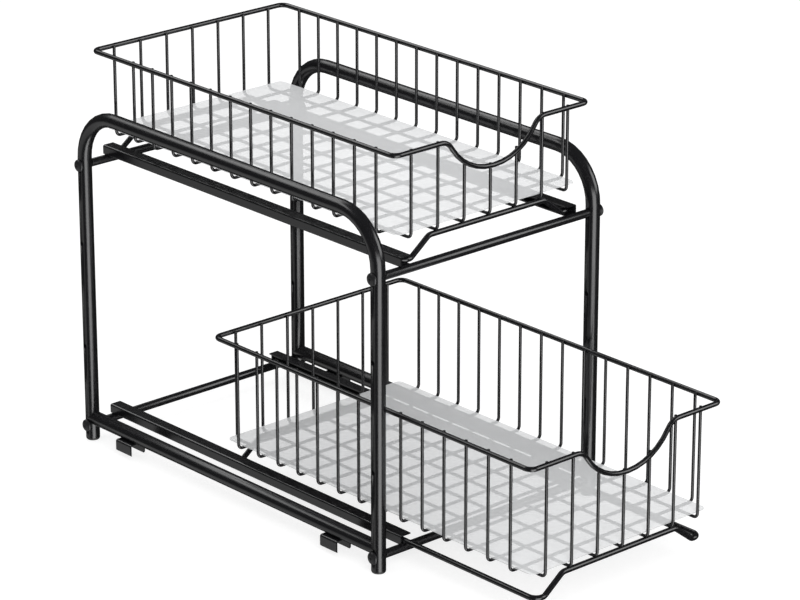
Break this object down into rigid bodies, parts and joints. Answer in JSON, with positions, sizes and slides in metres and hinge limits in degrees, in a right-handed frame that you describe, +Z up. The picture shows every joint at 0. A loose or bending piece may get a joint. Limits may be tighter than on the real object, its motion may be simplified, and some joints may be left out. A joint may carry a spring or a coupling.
{
  "type": "pull-out cabinet basket",
  "caption": "Wire baskets with frosted liners that slide out on channel rails in a bolted tube stand with stacking saddles.",
  "frame": {"origin": "on the floor, under the middle of the whole outline with the lower basket 166 mm out", "axes": "+X to the right as seen from the front, the baskets pull out along -Y, +Z up"},
  "size_m": [0.27, 0.5809, 0.3758],
  "materials": {
    "black_enamel": "satin black powder coat on steel tube, rod and sheet",
    "basket_enamel": "semi-gloss black powder coat on steel wire",
    "black_screw": "black coated steel",
    "black_plastic": "moulded black plastic",
    "frosted_liner": "frosted translucent sheet"
  },
  "bodies": {
    "stand": {"left_frame_tube": "black_enamel", "left_side_tube": "black_enamel", "left_front_saddle": "black_enamel", "left_rear_saddle": "black_enamel", "right_frame_tube": "black_enamel", "right_side_tube": "black_enamel", "right_front_saddle": "black_enamel", "right_rear_saddle": "black_enamel", "foot_plugs": "black_plastic", "frame_screws": "black_screw", "lower_front_rod": "black_enamel", "lower_rear_rod": "black_enamel", "lower_left_rail": "black_enamel", "lower_right_rail": "black_enamel", "upper_front_rod": "black_enamel", "upper_rear_rod": "black_enamel", "upper_left_rail": "black_enamel", "upper_right_rail": "black_enamel"},
    "lower_basket": {"lower_rim": "basket_enamel", "lower_cross_wires": "basket_enamel", "lower_long_wires": "basket_enamel", "lower_runner": "basket_enamel", "lower_liner": "frosted_liner"},
    "upper_basket": {"upper_rim": "basket_enamel", "upper_cross_wires": "basket_enamel", "upper_long_wires": "basket_enamel", "upper_runner": "basket_enamel", "upper_liner": "frosted_liner"}
  },
  "joints": [
    {"name": "lower_basket_slide", "type": "slide", "parent": "stand", "child": "lower_basket", "axis": [0, -1, 0], "range_m": [-0.1704, 0.1136]},
    {"name": "upper_basket_slide", "type": "slide", "parent": "stand", "child": "upper_basket", "axis": [0, -1, 0], "range_m": [-0.004, 0.28]}
  ]
}
